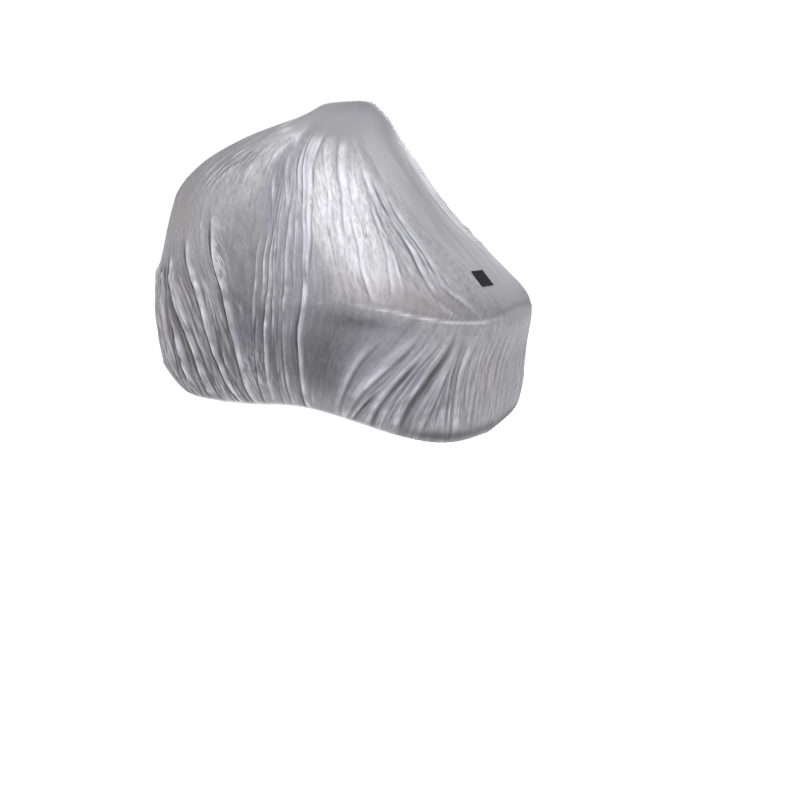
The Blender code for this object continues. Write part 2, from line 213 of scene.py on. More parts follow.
# Lesser creases, laid by seeded chance between these limits, on the near side and again on the far side.
# Slant is how far a crease drifts to greater turns over a hundredth of a level
CREASES = (
    # columns, count, from_level, length_levels, height_mm, width_mm, slant_mm
    ((0.0, 0.09), 60, (0.67, 0.9), (0.08, 0.33), (0.3, 0.8), (2.0, 3.4), (-1.0, 1.0)),
    ((0.09, 0.168), 44, (0.69, 0.88), (0.08, 0.28), (0.3, 0.9), (1.8, 3.4), (-2.0, 1.0)),
    ((0.0, 0.13), 16, (0.22, 0.45), (0.1, 0.24), (0.1, 0.3), (4.0, 8.0), (-2.0, 2.0)),
    ((0.145, 0.178), 46, (0.3, 0.52), (0.05, 0.18), (0.4, 1.3), (1.8, 4.0), (-7.0, 0.0)),
    ((0.12, 0.15), 14, (0.34, 0.5), (0.05, 0.14), (0.3, 0.8), (2.0, 3.4), (-6.0, 0.0)),
    ((0.172, 0.222), 26, (0.24, 0.9), (0.1, 0.4), (0.2, 0.7), (2.0, 3.6), (-1.0, 1.0)),
    ((0.22, 0.23), 34, (0.44, 0.94), (0.03, 0.07), (0.5, 1.3), (1.6, 3.0), (-8.0, -2.0)),
    ((0.205, 0.222), 16, (0.7, 0.94), (0.03, 0.1), (0.3, 0.9), (1.6, 3.0), (-6.0, 3.0)),
    ((0.231, 0.345), 90, (0.56, 0.9), (0.1, 0.4), (0.6, 1.8), (2.2, 4.5), (-3.0, 3.0)),
    ((0.345, 0.5), 80, (0.58, 0.88), (0.1, 0.4), (0.5, 1.6), (2.2, 4.5), (-3.0, 3.0)),
    ((0.2215, 0.3), 40, (0.16, 0.36), (0.05, 0.18), (0.2, 0.6), (1.8, 3.4), (-3.0, 3.0)),
    ((0.3, 0.42), 50, (0.16, 0.46), (0.06, 0.22), (0.2, 0.6), (1.8, 3.6), (-4.0, 4.0)),
)
SEED = 23
CREST_GENTLE = 1.00     # a crest's gentle and steep sides, in widths
CREST_STEEP = 0.50
LINE_WIDE = 0.55        # the shadow line's reach in widths, and its depth as a share of the height
LINE_DEEP = 0.80
STROKE_OFF = 0.45       # middle of the painted shadow stroke past the line, and half its width, in widths
STROKE_WIDE = 0.90
FINE_STROKE = 0.55      # half width of a lesser crease's stroke
VALLEY_SHADE = (0.26, 1.9, 1.3)   # a main pleat also paints shade on the cloth past it: how much, where and how wide
LINE_LEAST = 0.0018     # the line's least reach, in metres
PLEAT_RISE = 0.07       # levels over which a pleat grows from nothing, and fades where it ends
GLOW_GENTLE = 1.8       # a crest's painted highlight fades slowly away from its line, in widths
SLOW_RISE = 26.0        # a high pleat grows over longer: levels for each metre of its height
MAIN_DARK = 0.75        # a pleat darker than this has the wide stroke
MAIN_HEIGHT = 0.0045    # a pleat higher than this also has the broad bell: its share, place and reach
BROAD_SHARE = 0.30
BROAD_OFF = 2.6
BROAD_WIDE = 1.9
CREASE_HIGHLIGHT = 0.40    # how much a crease one millimetre high is given painted highlight and painted shade
CREASE_SHADE = 0.40
# How a pleat varies down its length: mean, swing, pace, least and most of its size, gleam and darkness
SIZE_VARIES = (1.00, 0.30, 4.0, 0.40, 1.6)
GLEAM_VARIES = (0.70, 0.75, 7.0, 0.04, 1.3)
DEPTH_VARIES = (0.90, 0.35, 3.0, 0.30, 1.2)
WANDERS = ((0.0008, 5.0), (0.0003, 14.0))   # it wanders sideways by so many metres, at such a pace
PLEAT_REACH = 7.0       # it is worked out this far to each side, in widths
MOST_RISE = 0.45        # its longest rise and fade, as a share of its length
AT_HEM = 0.99           # one that ends past this level runs on into the hem
# The far side's pleats against the near side's: spread of place, range of start, and shares of the rest
FAR_MOVED = 0.0025
FAR_START = (-0.03, 0.02)
FAR_HEIGHT = (0.7, 1.1)
FAR_WIDTH = (0.9, 1.3)
FAR_BRIGHT = (0.7, 1.0)
FAR_DARK = (0.8, 1.0)
MOST_SLANTED = 0.35     # least sine between a pleat and the ring that its width is stretched for
HEM_CALM = 0.15         # share of their height that the pleats keep at the hem, and where they ease off
CALM_FROM = 0.90

# The edge of the tub's rim shows as a crease from the foot end along either side
RIM_LINE = (
    # turn from the foot end, level
    (0.0, 0.64),
    (0.045, 0.65),
    (0.075, 0.66),
    (0.095, 0.661),
    (0.11, 0.656),
    (0.126, 0.648),
    (0.14, 0.638),
    (0.17, 0.626),
)
RIM_FADE = (0.140, 0.175)   # turns from the foot end between which it fades out
RIM_HEIGHT = 0.0011
RIM_REACH = 0.0045      # in levels
RIM_DARK_OFF = 0.015    # the soft line of painted shade lies this far above it, in levels
RIM_DARK_REACH = 0.008
RIM_SIDE = (0.03, 0.06)     # from the first of these turns, over the second, it gets a painted highlight and less painted shade
RIM_HIGHLIGHT = 0.50
RIM_SHADE = 0.35

# The ridge over the hood's front rib
RIB_X = 0.040
RIB_LEAN = 0.16
RIB_HEIGHT = 0.0035
RIB_REACH = 0.020
RIB_FOOT = 0.30

# Grid of the cloth: how thickly its columns stand at the hem, and its rows
COLUMNS = 1225
COLUMN_WEIGHTS = (
    # column, weight
    (0.0, 0.75),
    (0.085, 0.9),
    (0.095, 0.65),
    (0.12, 0.9),
    (0.15, 1.1),
    (0.155, 2.2),
    (0.16, 3.0),
    (0.166, 4.2),
    (0.17, 3.4),
    (0.176, 2.8),
    (0.181, 3.0),
    (0.186, 2.2),
    (0.195, 1.7),
    (0.208, 1.8),
    (0.214, 3.0),
    (0.219, 3.0),
    (0.222, 4.2),
    (0.226, 4.2),
    (0.2315, 3.4),
    (0.25, 3.4),
    (0.262, 3.0),
    (0.267, 1.0),
    (0.3, 0.8),
    (0.35, 0.9),
    (0.5, 0.8),
)
FAR_SIDE_WEIGHT = 0.6
ROW_BANDS = (
    # from level, to level, rows
    (0.012, 0.1, 5),
    (0.1, 0.58, 31),
    (0.58, 0.7, 15),
    (0.7, 0.94, 15),
    (0.94, 1.0, 6),
)

# The hem: the cloth is gathered on its elastic and turned in round it
GATHER_FROM = 0.955
GATHER_HEIGHT = 0.0003
GATHER_PITCHES = (0.0063, 0.0087, 0.0131)   # in metres along the hem
GATHER_SWAY = (3.0, 6.0)    # how far the gathers wander, in radians, and the pace of it
GATHER_SUM = 1.8            # what the sum of their sines is divided by
CASING_RADIUS = 0.0021
CASING_STEPS = 6
CASING_BACK = 0.007     # how far the casing goes back up the cloth's inside
CASING_PALE = (0.13, 0.32, 0.8)   # the casing is paler between these turns from the foot end, by this much
CASING_FROM = 0.985
CASING_SOFT = (0.03, 0.01)  # how softly, in turns and in levels
FOLD_UNDER = (0.10, 0.955, 0.985)   # up to these turns the cloth is painted in shade between these levels, where it rolls under
FOLD_SOFT = 0.06
FOLD_SHADE = 0.90
TOP_LIFT = 0.0006       # the fan's middle lies this far above its first ring

# How pale the cloth is, 0 to 1, and where it is paler or darker by soft patches on both sides: it is pale
# where it hangs in many loose layers, and darker round the tub. The patches also hold painted light and
# shade:
# painted sheen where the crinkled cloth faces the light, and painted shade lower down round the tub
TONE = 0.225
TONES = (
    # turn from the foot end, level, reach in turns, reach in levels, gain
    (0.145, 0.44, 0.032, 0.13, 0.12),
    (0.11, 0.38, 0.04, 0.12, 0.07),
    (0.15, 0.56, 0.025, 0.06, 0.12),
    (0.05, 0.3, 0.045, 0.14, 0.1),
    (0.08, 0.08, 0.12, 0.05, -0.08),
    (0.03, 0.54, 0.04, 0.06, 0.06),
    (0.085, 0.6, 0.02, 0.04, -0.04),
    (0.24, 0.28, 0.04, 0.1, 0.17),
    (0.19, 0.34, 0.02, 0.1, -0.04),
    (0.25, 0.55, 0.03, 0.1, -0.03),
    (0.36, 0.42, 0.05, 0.09, -0.05),
    (0.29, 0.42, 0.03, 0.1, 0.03),
    (0.2, 0.8, 0.03, 0.14, -0.12),
    (0.245, 0.74, 0.03, 0.16, -0.15),
    (0.31, 0.86, 0.06, 0.2, -0.15),
    (0.34, 0.66, 0.05, 0.08, -0.06),
    (0.42, 0.86, 0.09, 0.2, -0.1),
    (0.15, 0.685, 0.03, 0.022, -0.09),
    (0.165, 0.8, 0.02, 0.16, -0.1),
    (0.12, 0.84, 0.04, 0.12, -0.1),
    (0.03, 0.84, 0.06, 0.14, -0.04),
    (0.12, 0.6, 0.02, 0.03, -0.07),
    (0.06, 0.62, 0.05, 0.04, -0.05),
)
# More of the same, with spiky upper and lower edges, where the crinkled cloth begins: painted sheen
FLAMES = (
    (0.145, 0.34, 0.03, 0.16, 0.15),
    (0.15, 0.47, 0.028, 0.09, 0.08),
    (0.17, 0.26, 0.018, 0.07, 0.09),
    (0.106, 0.35, 0.022, 0.08, 0.14),
    (0.084, 0.42, 0.016, 0.06, 0.09),
)
RAGGED = 0.050              # the spikes reach up to about this far up and down, in levels
RAGGED_PACE = 45.0
RAGGED_END = (0.55, 0.10)   # the spikes fade out from this level, over so many levels
# Down to which level the cloth is drawn smooth
SMOOTH = (
    # column from the foot end, level
    (0.0, 0.65),
    (0.036, 0.645),
    (0.056, 0.47),
    (0.08, 0.36),
    (0.128, 0.25),
    (0.17, 0.215),
    (0.215, 0.19),
    (0.3, 0.18),
    (0.5, 0.18),
)
SMOOTH_SOFT = 0.022     # levels over which that ends
# Where the cloth is tinted
WARMTHS = (
    # the same values; a gain above 0 makes the cloth warmer, one below 0 more lilac
    (0.36, 0.44, 0.05, 0.07, 0.9),
    (0.118, 0.6, 0.02, 0.04, 0.9),
    (0.15, 0.58, 0.03, 0.04, 0.5),
    (0.33, 0.8, 0.06, 0.16, 0.5),
    (0.03, 0.8, 0.04, 0.14, 0.3),
    (0.14, 0.8, 0.03, 0.12, -0.6),
    (0.205, 0.4, 0.014, 0.16, -0.8),
    (0.182, 0.48, 0.008, 0.16, -0.8),
    (0.235, 0.76, 0.016, 0.08, -0.6),
    (0.2, 0.7, 0.012, 0.12, -0.5),
    (0.1, 0.1, 0.1, 0.1, -0.3),
)
# The tub's edge shows through the cloth beside the rim's crease: darker below this line
TUB_EDGE = (
    # turn from the foot end, level
    (0.16, 0.615),
    (0.176, 0.63),
    (0.19, 0.647),
    (0.214, 0.668),
    (0.24, 0.69),
)
TUB_DARK = 0.035
TUB_SHARP = 0.010       # levels over which the dark sets in below the line
TUB_TURNS = (0.160, 0.245, 0.015)   # its two ends in turns, and how soft they are
TUB_DEPTH = (0.82, 0.12)            # it fades from this level, over so many levels
# Where the cloth is crushed into fine crinkles, which are bumped and drawn with painted glints
CRUSHES = (
    # the same values as TONES has, and so in STREAKS
    (0.146, 0.4, 0.03, 0.1, 1.0),
    (0.108, 0.36, 0.026, 0.09, 0.8),
    (0.272, 0.56, 0.01, 0.09, 0.8),
    (0.226, 0.87, 0.01, 0.07, 0.6),
)
# How much the cloth is finely streaked down its length, and where it is more so. The streaks pale and darken
# it, partly as layered cloth and partly as painted sheen
STREAKY = 0.35
STREAKS = (
    (0.3, 0.8, 0.07, 0.22, 1.0),
    (0.42, 0.8, 0.1, 0.22, 0.9),
    (0.18, 0.4, 0.02, 0.2, 0.6),
    (0.255, 0.28, 0.05, 0.1, 0.7),
    (0.11, 0.84, 0.05, 0.14, 0.5),
    (0.03, 0.84, 0.06, 0.14, 0.8),
    (0.145, 0.42, 0.04, 0.14, 0.1),
)

# Colours of the net where it is black and white in tone, and its tints
DARK_COLOUR = (0.012, 0.011, 0.013)
PALE_COLOUR = (0.945, 0.936, 1.000)
WARM_TINT = (0.250, 0.218, 0.212)
LILAC_TINT = (0.215, 0.208, 0.270)
# Painted highlight on the pleats' crests, partly cloth folded double
CREST_HIGHLIGHT_COLOUR = (0.650, 0.645, 0.710)
# Painted shadow in the shadow lines
SHADOW_LINE_COLOUR = (0.030, 0.027, 0.032)
# Painted glints on the crinkles and creases
CRINKLE_GLINT_COLOUR = (0.800, 0.795, 0.830)
CASING_COLOUR = (0.720, 0.720, 0.740)
RIBBON_LOW = (0.004, 0.004, 0.005)
RIBBON_HIGH = (0.014, 0.014, 0.016)
RIBBON_DUST = (0.050, 0.050, 0.052)
THREAD_COLOUR = (0.030, 0.030, 0.033)
RIBBON_THREADS = (2600.0, 3200.0, 1.0)    # to the metre
MESH_THREADS = (2600.0, 640.0, 1.0)       # round the hem and from the top to the hem
CRINKLE_TURNED = -0.55   # the crinkles' slant from upright, in radians
FINE_TURNED = -0.40
MOTTLE_TURNED = -0.30

# Size of each grain: the first two on the cloth's own turns and levels, the others in metres
STREAK_GRAIN = (0.0017, 0.12, 1.0)
CREASE_GRAIN = (0.0045, 0.20, 1.0)
BLOTCH_GRAIN = (0.11, 0.11, 0.16)
MOTTLE_GRAIN = (0.009, 0.012, 0.014)
COARSE_GRAIN = (0.012, 0.05, 0.085)
FINE_GRAIN = (0.006, 0.03, 0.040)
DUST_GRAIN = (0.004, 0.004, 0.004)
PLY_GRAIN = (0.0004, 0.0004, 0.0012)
# How much each changes the tone, mixes in its colour or raises the bump
STREAK_GAIN = 0.42
MOTTLE_GAIN = 0.14
BLOTCH_GAIN = 0.07
FINE_SHARE = 0.7
WARM_MIX = 0.45
LILAC_MIX = 0.50
CREASE_MIX = 0.07
CRINKLE_GLINT_MIX = 0.78
SHADOW_LINE_MIX = 0.95
FOLDED_SOLID = 0.06
THREAD_BUMP = 0.05
MOTTLE_BUMP = 0.8
CRINKLE_BUMP = 0.45
CREASE_BUMP = 0.12

# See-through: how solid the cloth is over the hood and, lower down, where it hangs before its other side
SHEER_HOOD = 0.93
SHEER_SKIRT = 0.995
SHEER_LEVELS = (0.50, 0.70)

# The label and its stitches, in metres
LABEL_PLACE = (0.029, 0.556)    # turn and level of its middle
LABEL_TURNED = -0.19            # its slant from straight down, in radians
LABEL_SIZE = (0.036, 0.027)
LABEL_THICK = 0.0010
LABEL_GAP = 0.0005
LABEL_STEPS = (73, 55)
LABEL_FOLD = (0.0045, 0.00035)    # its two ends are folded under: for how far, and how much higher they lie
LABEL_FOLD_STEP = 0.0008    # the step up to the folded end takes this much
LABEL_SOFT_EDGE = 0.0006
LABEL_EDGE = 0.35           # thickness at its very edge, as a share
LABEL_HAIR = 1e-3           # step to each side for the slopes that lay it on the cloth
STITCH_INSET = 0.0016
STITCH_PITCH = 0.0035
STITCH_SHARE = 0.74     # length of a stitch as a share of the pitch
STITCH_RADIUS = 0.00022
STITCH_SIDES = 8
STITCH_RINGS = 7

# Camera as worked out from the photo: 20.4 degrees down, 37.4 degrees round towards the foot end
CAMERA_PLACE = (1.012, -1.168, -0.021)
CAMERA_DOWN = 20.4
CAMERA_ROUND = 37.4
CAMERA_LENS = 34.65
FLOOR_Z = -1.14
FLOOR_REACH = 60.0
SKY_STRENGTH = 0.5
OVERHEAD_STRENGTH = 2.05
OVERHEAD_SPREAD = 1.2
LIGHTS_AIM = (-0.05, 0.0, -0.3)
LIGHTS = (
    # name, place, side, power
    ("key_light", (2.4, -1.6, 0.7), 0.9, 50.0),
    ("fill_light", (-2.3, -2.0, 0.3), 0.9, 25.0),
    ("back_light", (-1.2, 2.7, 0.8), 1.4, 45.0),
)


def smooth_step(t):
    """0 to 1 with level ends: 3 t^2 - 2 t^3."""
    t = np.clip(t, 0.0, 1.0)
    return t * t * (3.0 - 2.0 * t)


def smooth_curve(at, values, x):
    """Cubic through the values that never overshoots them: each slope is the harmonic mean of the chords."""
    at = np.asarray(at, float)
    values = np.asarray(values, float)
    step = np.diff(at)
    chord = np.diff(values) / step
    slope = np.zeros_like(values)
    total = chord[:-1] + chord[1:]
    product = chord[:-1] * chord[1:]
    slope[1:-1] = np.where(product > 0, 2.0 * product / np.where(total == 0, 1.0, total), 0.0)
    slope[0] = chord[0]
    slope[-1] = chord[-1]
    i = np.clip(np.searchsorted(at, x, side="right") - 1, 0, len(at) - 2)
    t = (x - at[i]) / step[i]
    return (
        (2 * t**3 - 3 * t**2 + 1) * values[i]
        + (t**3 - 2 * t**2 + t) * step[i] * slope[i]
        + (3 * t**2 - 2 * t**3) * values[i + 1]
        + (t**3 - t**2) * step[i] * slope[i + 1]
    )


def table_curve(table, x):
    """Smooth curve through a table's rows, each a place and its value."""
    rows = np.array(table)
    return smooth_curve(rows[:, 0], rows[:, 1], x)


def from_foot_end(turn):
    """Turns from the foot end the shorter way round, so that both sides count alike."""
    return np.abs((turn + 0.5) % 1.0 - 0.5)


def bare_form(turn, level):
    """The smooth cover: at each level a ring with an elliptic head half and foot half, set by RINGS."""
    rows = np.array(RINGS)
    fall, head, foot, half, widest, head_square, foot_square = (
        smooth_curve(rows[:, 0], rows[:, k], level) for k in range(1, 8)
    )
    angle = -2.0 * np.pi * turn
    c, s = np.cos(angle), np.sin(angle)
    square = np.where(c > 0, foot_square, head_square)
    ring = (np.abs(c) ** square + np.abs(s) ** square) ** (-1.0 / square)
    middle = -widest * HEAD_REACH
    reach = np.where(c > 0, foot * FOOT_REACH - middle, middle + head * HEAD_REACH)
    dip = table_curve(HEM_DIPS, from_foot_end(turn))
    low = smooth_step((level - DIP_START) / (1.0 - DIP_START))
    return np.stack([middle + reach * c * ring, half * HALF_WIDTH * s * ring, -fall * FALL - dip * low], -1)


def outward(turn, level):
    """Unit normals of the smooth cover, from differences a hair's breadth to each side."""
    along = bare_form(turn + HAIR, level) - bare_form(turn - HAIR, level)
    below = bare_form(turn, np.minimum(level + HAIR, 1.0))
    normal = np.cross(below - bare_form(turn, np.maximum(level - HAIR, 0.0)), along)
    normal *= np.sign((normal * (bare_form(turn, level) - INSIDE)).sum(-1))[..., None]
    return normal / np.linalg.norm(normal, axis=-1, keepdims=True)


def guide_turns(level):
    """Turns of every guide at one level: near side, far side in a mirror, and a few past both ends."""
    near = np.array(GUIDES)
    held = np.clip(level, GUIDE_LEVELS[0], 1.0)
    at = np.array([smooth_curve(GUIDE_LEVELS, row, held) for row in near])
    columns = np.concatenate([near[:, -1], 1.0 - near[-2::-1, -1]])
    turns = np.concatenate([at, 1.0 - at[-2::-1]])
    ends = 6
    columns = np.concatenate([columns[-1 - ends : -1] - 1.0, columns, columns[1 : ends + 1] + 1.0])
    turns = np.concatenate([turns[-1 - ends : -1] - 1.0, turns, turns[1 : ends + 1] + 1.0])
    return columns, turns


def waves(x, chance, count=5, fastest=9.0):
    """A wandering value about 0 along x: a sum of sines of seeded pace and start."""
    total = np.zeros_like(x)
    for _ in range(count):
        pace = chance.uniform(1.0, fastest)
        total += np.sin(pace * np.pi * x + chance.uniform(0.0, 2.0 * np.pi)) / (1.0 + 0.35 * pace)
    return total / count**0.5


def varied(x, chance, mean, swing, pace, least, most):
    """The mean and a wandering swing along x, held between least and most."""
    return np.clip(mean + swing * waves(x * pace, chance), least, most)


def hem_columns():
    """Columns at the hem, as thick on the ground as their weights ask, and sparser on the far side."""
    fine = np.linspace(0.0, 1.0, 8001)
    weight = np.interp(from_foot_end(fine), *np.array(COLUMN_WEIGHTS).T)
    weight *= np.where(fine > 0.5, FAR_SIDE_WEIGHT, 1.0)
    total = np.concatenate([[0.0], np.cumsum((weight[1:] + weight[:-1]) / 2.0)])
    return np.interp(np.arange(COLUMNS) / COLUMNS * total[-1], total, fine)


def row_levels():
    """Levels of the rows, from near the top to the hem."""
    levels = [np.linspace(a, b, n, endpoint=False) for a, b, n in ROW_BANDS]
    return np.concatenate(levels + [[1.0]])


def all_pleats(chance):
    """Pleats of both sides as rows of columns and levels from and to, height, width, steep, drift, bright and
    dark, in metres. The far side has the near side's in a mirror, each moved and changed a little."""
    rows = []
    for first, last, start, end, height, width, steep, bright, dark in PLEATS:
        rows.append((first, last, start, end, 0.001 * height, 0.001 * width, steep, 0.0, bright, dark))
        moved = chance.normal(0.0, FAR_MOVED)
        rows.append((
            1.0 - first + moved, 1.0 - last + moved, start + chance.uniform(*FAR_START), end,
            0.001 * height * chance.uniform(*FAR_HEIGHT), 0.001 * width * chance.uniform(*FAR_WIDTH),
            -steep, 0.0,
            bright * chance.uniform(*FAR_BRIGHT), dark * chance.uniform(*FAR_DARK),
        ))
    for columns, count, start, length, height, width, slant in CREASES:
        for side in (0, 1):
            for _ in range(count):
                column = abs(side - chance.uniform(*columns))
                first = chance.uniform(*start)
                tall = chance.uniform(*height)
                drift = 0.1 * chance.uniform(*slant) * (1 - 2 * side)
                rows.append((
                    column, column, first, first + chance.uniform(*length), 0.001 * tall,
                    0.001 * chance.uniform(*width), chance.choice([-1.0, 1.0]), drift,
                    CREASE_HIGHLIGHT * tall, CREASE_SHADE * tall,
                ))
    return rows


def line_down(columns, levels, base, arcs, first, last, start, end, drift=0.0):
    """Place of a line along each ring, in metres from column 0, and the sine of its angle to the ring.

    Its column goes evenly from first to last between the levels start and end, and it drifts along the
    ring by drift metres a level."""
    rows = np.arange(len(levels))
    run = np.clip((levels - start) / (end - start), 0.0, 1.0)
    spot = np.interp((first + (last - first) * run) % 1.0, columns, np.arange(len(columns)))
    left = np.minimum(spot.astype(int), len(columns) - 2)
    share = spot - left
    drifted = drift * (levels - 0.5 * (start + min(end, 1.0)))
    line = base[rows, left] * (1.0 - share)[:, None] + base[rows, left + 1] * share[:, None]
    along_ring = base[rows, left + 1] - base[rows, left]
    along_ring /= np.linalg.norm(along_ring, axis=1, keepdims=True)
    along_line = np.gradient(line, axis=0) + along_ring * np.gradient(drifted)[:, None]
    along_line /= np.linalg.norm(along_line, axis=1, keepdims=True)
    sine = np.clip(np.linalg.norm(np.cross(along_line, along_ring), axis=1), MOST_SLANTED, 1.0)
    return arcs[rows, left] * (1.0 - share) + arcs[rows, left + 1] * share + drifted, sine


def past_line(arcs, place, round_length):
    """How far points along a ring lie past a place on it, the shorter way round."""
    return (arcs - place + 0.5 * round_length) % round_length - 0.5 * round_length


def bell(x, reach):
    """1 at 0, falling to both sides: e to minus the square of x over its reach."""
    return np.exp(-((x / reach) ** 2))


def pleated(columns, levels, base, arcs, chance):
    """Height of the pleats and creases over the bare form, and how much each point lies on a crest or in a
    shadow line (0 to 1), which the material paints as highlight and as shadow.

    Across a pleat, s is the distance past its shadow line in widths. Its crest is a bell round s = -1
    with a gentle and a steep flank, and its shadow line is a narrow bell round s = 0, taken away. A main
    pleat also lifts the cloth behind its crest in a broad low bell. Distance is measured square to the
    pleat, so along the ring it is stretched by 1 / sine of the angle between pleat and ring."""
    heights = np.zeros_like(arcs)
    shade = np.zeros_like(arcs)
    crest_highlights = np.zeros_like(arcs)
    round_length = arcs[:, -1] + arcs[:, 1]
    calm = 1.0 - (1.0 - HEM_CALM) * smooth_step((levels - CALM_FROM) / (1.0 - CALM_FROM))
    for first, last, start, end, height, width, steep, drift, bright, dark in all_pleats(chance):
        wander = sum(metres * waves(levels * pace, chance) for metres, pace in WANDERS)
        size = varied(levels, chance, *SIZE_VARIES)
        gleam = varied(levels, chance, *GLEAM_VARIES)
        depth = varied(levels, chance, *DEPTH_VARIES)
        place, sine = line_down(columns, levels, base, arcs, first, last, start, end, drift)
        rise = min(max(PLEAT_RISE, SLOW_RISE * height), MOST_RISE * (end - start))
        grown = smooth_step((levels - start) / rise) * size
        seen = smooth_step((levels - start) / PLEAT_RISE) * size
        if end < AT_HEM:
            grown *= smooth_step((end - levels) / rise)
            seen *= smooth_step((end - levels) / rise)
        for r in np.nonzero(grown > 0.0)[0]:
            s = past_line(arcs[r], place[r] + wander[r], round_length[r])
            wide = width / sine[r]
            near = np.nonzero(np.abs(s) < PLEAT_REACH * wide)[0]
            s = steep * s[near] / wide
            crest = bell(s + 1.0, np.where(s > -1.0, CREST_STEEP, CREST_GENTLE))
            glow = bell(s + 1.0, np.where(s > -1.0, CREST_STEEP, GLOW_GENTLE))
            line = bell(s, max(LINE_WIDE, LINE_LEAST / wide))
            if dark >= MAIN_DARK:
                stroke = np.exp(-(((s - STROKE_OFF) / STROKE_WIDE) ** 4))
                stroke = np.maximum(stroke, VALLEY_SHADE[0] * bell(s - VALLEY_SHADE[1], VALLEY_SHADE[2]))
            else:
                stroke = np.exp(-((s / max(FINE_STROKE, LINE_LEAST / wide)) ** 4))
            tall = height * grown[r] * calm[r]
            heights[r, near] += tall * (crest - LINE_DEEP * line)
            if height > MAIN_HEIGHT:
                heights[r, near] += tall * BROAD_SHARE * bell(s + BROAD_OFF, BROAD_WIDE)
            strength = min(seen[r], 1.0)
            # Painted shadow along the shadow line, and in the valley past a main pleat
            shade[r, near] = np.maximum(shade[r, near], min(dark * depth[r], 1.0) * strength * stroke)
            # Painted highlight on the crest, partly cloth folded double
            crest_highlights[r, near] = np.maximum(crest_highlights[r, near], min(bright * gleam[r], 1.0) * strength * glow)
    return heights, shade, crest_highlights


def banded(columns, levels, base, arcs):
    """Tone of the soft ribbons: a bell of each band's width across it, fading at both ends, on both sides."""
    tone = np.zeros_like(arcs)
    round_length = (arcs[:, -1] + arcs[:, 1])[:, None]
    for first, last, start, end, width, gain in BANDS:
        shown = smooth_step((levels - start) / PLEAT_RISE)
        if end < AT_HEM:
            shown *= smooth_step((end - levels) / PLEAT_RISE)
        for from_column, to_column in ((first, last), (1.0 - first, 1.0 - last)):
            place, sine = line_down(columns, levels, base, arcs, from_column, to_column, start, end)
            s = past_line(arcs, place[:, None], round_length)
            tone += gain * shown[:, None] * bell(s * sine[:, None], 0.0005 * width)
    return tone


def zone(turn, level, low_turn, high_turn, low_level, high_level, soft_turn, soft_level):
    """1 inside a patch of the cloth and 0 outside, with soft edges. Turns count from the foot end."""
    away = from_foot_end(turn)
    inside = smooth_step((away - low_turn) / soft_turn) * smooth_step((high_turn - away) / soft_turn)
    inside *= smooth_step((level - low_level) / soft_level)
    return inside * smooth_step((high_level - level) / soft_level)


def cover_rows():
    """Every point of the cloth, row by row, with what its finish needs at each."""
    chance = np.random.default_rng(SEED)
    columns, levels = hem_columns(), row_levels()
    turn = np.array([smooth_curve(*guide_turns(level), columns) for level in levels])
    level = np.repeat(levels[:, None], len(columns), 1)
    base = bare_form(turn, level)
    steps = np.linalg.norm(np.diff(base, axis=1), axis=2)
    arcs = np.concatenate([np.zeros((len(levels), 1)), np.cumsum(steps, 1)], 1)
    heights, shade, crest_highlights = pleated(columns, levels, base, arcs, chance)
    # Painted light and shade of the broad folds between the pleats
    bands = banded(columns, levels, base, arcs)
    rib = base[..., 0] - RIB_X - RIB_LEAN * base[..., 2]
    heights += RIB_HEIGHT * bell(rib, RIB_REACH) * (1.0 - smooth_step(level / RIB_FOOT))
    away = from_foot_end(turn)
    off = level - table_curve(RIM_LINE, np.minimum(away, RIM_LINE[-1][0]))
    shown = 1.0 - smooth_step((away - RIM_FADE[0]) / (RIM_FADE[1] - RIM_FADE[0]))
    side = smooth_step((away - RIM_SIDE[0]) / RIM_SIDE[1])
    ridge = bell(off, RIM_REACH)
    groove = bell(off + RIM_DARK_OFF, RIM_DARK_REACH)
    heights += RIM_HEIGHT * shown * (ridge - 0.5 * groove)
    # The crease gets a painted highlight on its ridge and painted shade in the groove above it
    crest_highlights = np.maximum(crest_highlights, RIM_HIGHLIGHT * shown * side * ridge)
    shade = np.maximum(shade, RIM_SHADE * shown * (1.0 - 0.5 * side) * groove)
    gathers = np.zeros_like(arcs)
    sway, pace = GATHER_SWAY
    for pitch in GATHER_PITCHES:
        gathers += np.sin(2.0 * np.pi * arcs / pitch + sway * waves(arcs * pace, chance))
    heights += GATHER_HEIGHT * gathers / GATHER_SUM * smooth_step((level - GATHER_FROM) / (1.0 - GATHER_FROM))
    # Painted shade just above the hem where the cloth rolls under, towards the foot end
    most_turn, low, high = FOLD_UNDER
    under = (1.0 - smooth_step((away - most_turn) / FOLD_SOFT)) * bell(level - 0.5 * (low + high), high - low)
    shade = np.maximum(shade, FOLD_SHADE * under)
    points = base + outward(turn, level) * (heights + 0.5 * CLOTH)[..., None]
    return columns, turn, level, points, shade, crest_highlights, bands, ragged_level(columns, level, chance)


def patch_sum(rows, turn, level, start):
    """Start plus a soft round patch for each row, on both sides alike."""
    total = np.full_like(turn, start)
    away = from_foot_end(turn)
    for at_turn, at_level, turn_reach, level_reach, gain in rows:
        total += gain * bell(away - at_turn, turn_reach) * bell(level - at_level, level_reach)
    return total


def ragged_level(columns, level, chance):
    """The level, moved up and down from column to column, so that patches set by it have spiky edges."""
    fade_from, fade_over = RAGGED_END
    spikes = RAGGED * waves(columns * RAGGED_PACE, chance)[None]
    return level + spikes * (1.0 - smooth_step((level - fade_from) / fade_over))


def drawn_smooth(columns, level):
    """Where the cloth is drawn smooth over the hood's top and the slope (0 to 1): above SMOOTH's line."""
    least = table_curve(SMOOTH, from_foot_end(columns))
    return 1.0 - smooth_step((level - least) / SMOOTH_SOFT)


